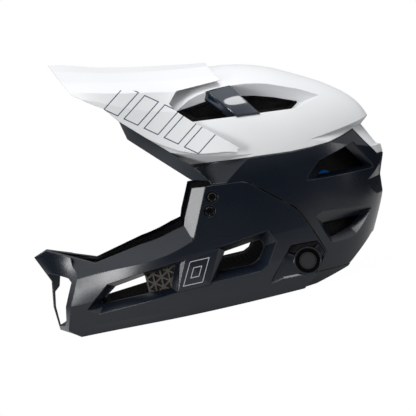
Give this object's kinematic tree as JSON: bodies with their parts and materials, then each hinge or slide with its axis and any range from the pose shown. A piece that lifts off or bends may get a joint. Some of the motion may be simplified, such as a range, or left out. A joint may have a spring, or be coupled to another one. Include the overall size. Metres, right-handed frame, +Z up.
{
  "type": "full face mountain bike helmet",
  "caption": "Full-face bike helmet with a tilting visor, vented shell, foam liner and a chin bar that slides off when its cheek buttons are pressed.",
  "frame": {"origin": "middle of the footprint, on the ground under the lower edges", "axes": "-X is where the wearer looks, -Y the wearer's left, +Z up"},
  "size_m": [0.3806, 0.2268, 0.2807],
  "materials": {
    "shell_white": "satin light grey white",
    "shell_navy": "satin dark navy",
    "trim_slate": "satin slate blue",
    "strut_navy": "glossy dark navy",
    "foam_black": "beaded foam",
    "pad_black": "brushed knit",
    "plastic_black": "matte moulded",
    "webbing_black": "woven",
    "slip_blue": "smooth",
    "steel_bright": "plain",
    "steel_black": "black oxide"
  },
  "bodies": {
    "helmet": {"upper_shell": "shell_white", "lower_shell": "shell_navy", "brow_trim": "trim_slate", "rim_trim": "shell_navy", "foam_liner": "foam_black", "vent_strut_left": "strut_navy", "vent_strut_right": "strut_navy", "slip_discs": "slip_blue", "latch_strikers": "steel_bright", "hook_sockets": "plastic_black", "crown_pad": "pad_black", "brow_pad": "pad_black", "fit_cradle": "plastic_black", "nape_pad": "pad_black", "strap_left": "webbing_black", "strap_right": "webbing_black", "strap_anchors": "steel_bright", "buckle": "plastic_black", "visor_pins": "plastic_black"},
    "visor": {"visor": "shell_white"},
    "chin_bar": {"chin_bar_shell": "shell_navy", "chin_foam_liner": "foam_black", "chin_tongues": "steel_black", "button_bezels": "plastic_black", "chin_screws": "steel_black", "side_grille_left": "plastic_black", "side_grille_right": "plastic_black", "cheek_pad_left": "pad_black", "cheek_pad_right": "pad_black", "chin_pad": "pad_black"},
    "button_left": {"release_button_left": "plastic_black"},
    "button_right": {"release_button_right": "plastic_black"},
    "dial": {"fit_dial": "plastic_black"}
  },
  "joints": [
    {"name": "visor_tilt", "type": "hinge", "parent": "helmet", "child": "visor", "pos_m": [0.03515, 0, 0.15384], "axis": [0, 1, 0], "range_deg": [0, 12]},
    {"name": "chin_bar_slide", "type": "slide", "parent": "helmet", "child": "chin_bar", "axis": [-1, 0, 0], "range_m": [0, 0.24]},
    {"name": "release_button_left", "type": "slide", "parent": "chin_bar", "child": "button_left", "axis": [0, 1, 0], "range_m": [0, 0.0025], "stiffness_N_per_m": 500, "springref_m": -0.002},
    {"name": "release_button_right", "type": "slide", "parent": "chin_bar", "child": "button_right", "axis": [0, -1, 0], "range_m": [0, 0.0025], "stiffness_N_per_m": 500, "springref_m": -0.002},
    {"name": "fit_dial_turn", "type": "hinge", "parent": "helmet", "child": "dial", "pos_m": [0.148, 0, 0.056], "axis": [1, 0, 0], "range_deg": [0, 540]}
  ]
}
